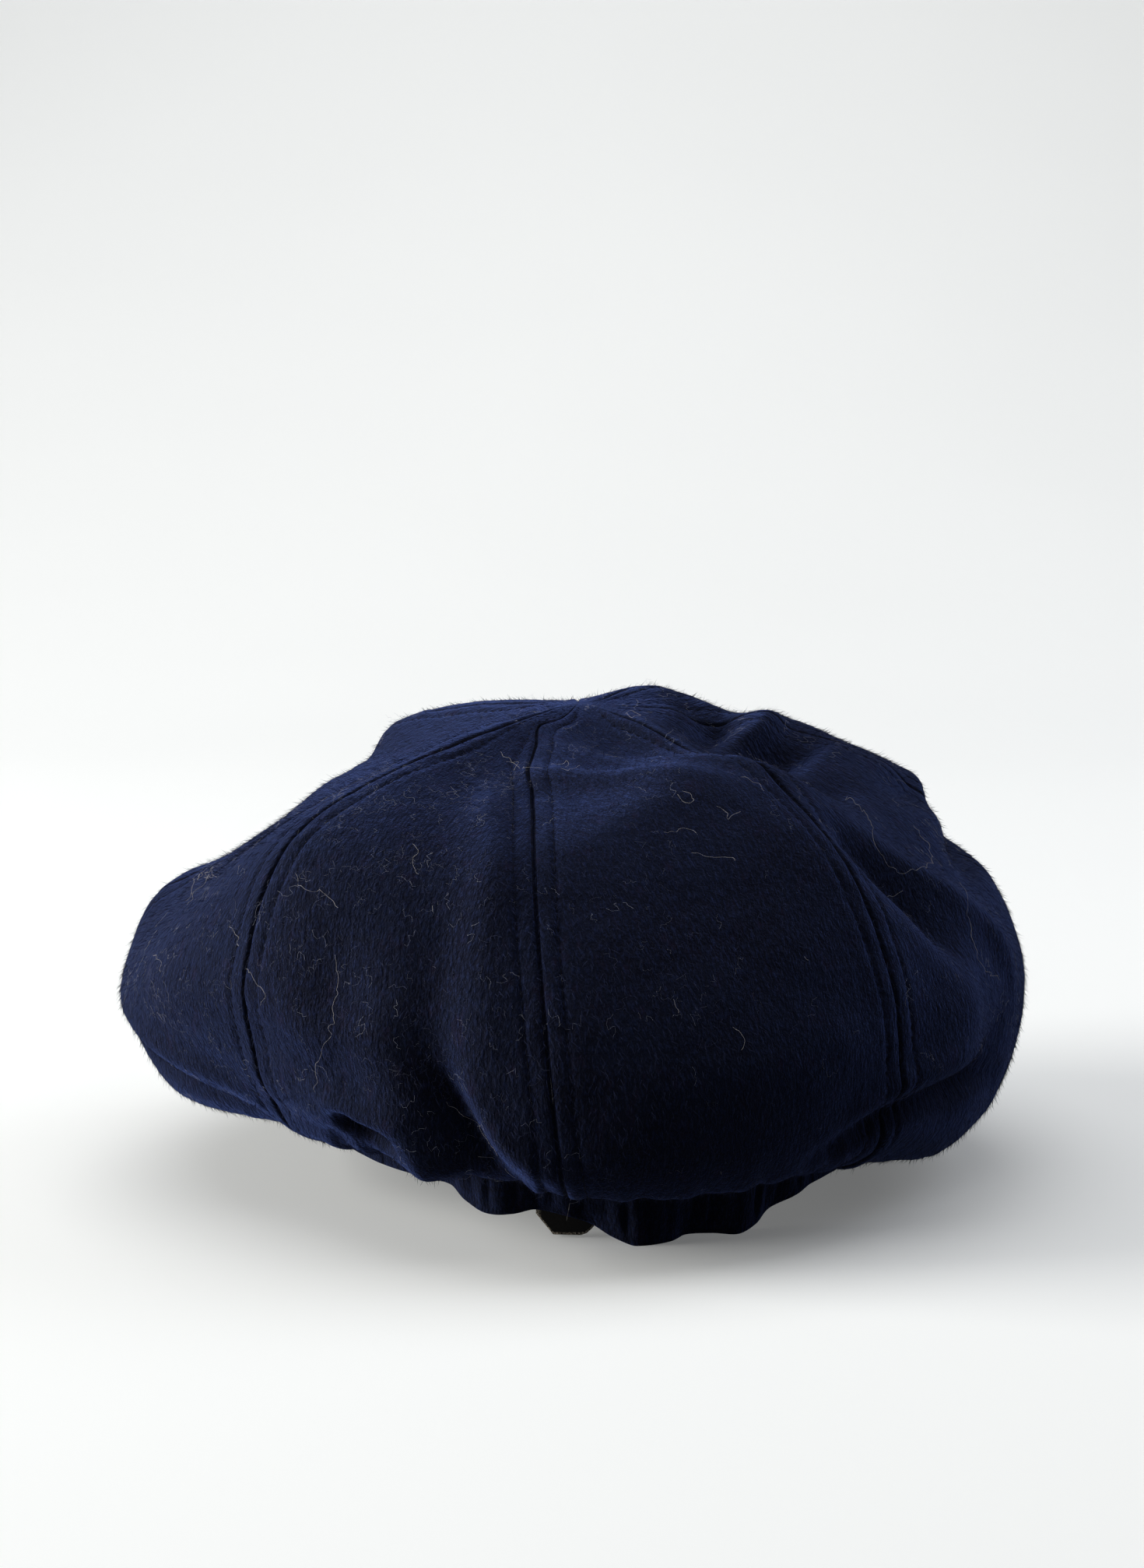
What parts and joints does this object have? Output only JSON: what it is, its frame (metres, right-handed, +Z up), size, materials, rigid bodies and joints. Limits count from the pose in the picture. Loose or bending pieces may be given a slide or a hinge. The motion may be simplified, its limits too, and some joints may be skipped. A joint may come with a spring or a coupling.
{
  "type": "baker boy cap",
  "caption": "Full, soft panelled wool cap with a gathered back edge, inner sweatband and short stiffened peak, lying as put down.",
  "frame": {"origin": "under the middle of the whole cap, at the level of the surface it lies on", "axes": "+Y forward, the way the wearer looks and where the peak is; +X to the wearer's right; +Z up, the cap lying as put down"},
  "size_m": [0.2836, 0.2918, 0.1486],
  "materials": {
    "wool": "napped navy wool, matt",
    "band_wool": "napped navy wool, matt",
    "peak_wool": "napped navy wool over a stiff core, matt",
    "leather": "thin black leather, soft sheen"
  },
  "bodies": {
    "root": {"crown_panel_1": "wool", "crown_panel_2": "wool", "crown_panel_3": "wool", "crown_panel_4": "wool", "crown_panel_5": "wool", "crown_panel_6": "wool", "crown_panel_7": "wool", "crown_panel_8": "wool", "band": "band_wool", "gathered_back": "band_wool", "sweatband": "leather", "peak": "peak_wool"}
  },
  "joints": []
}
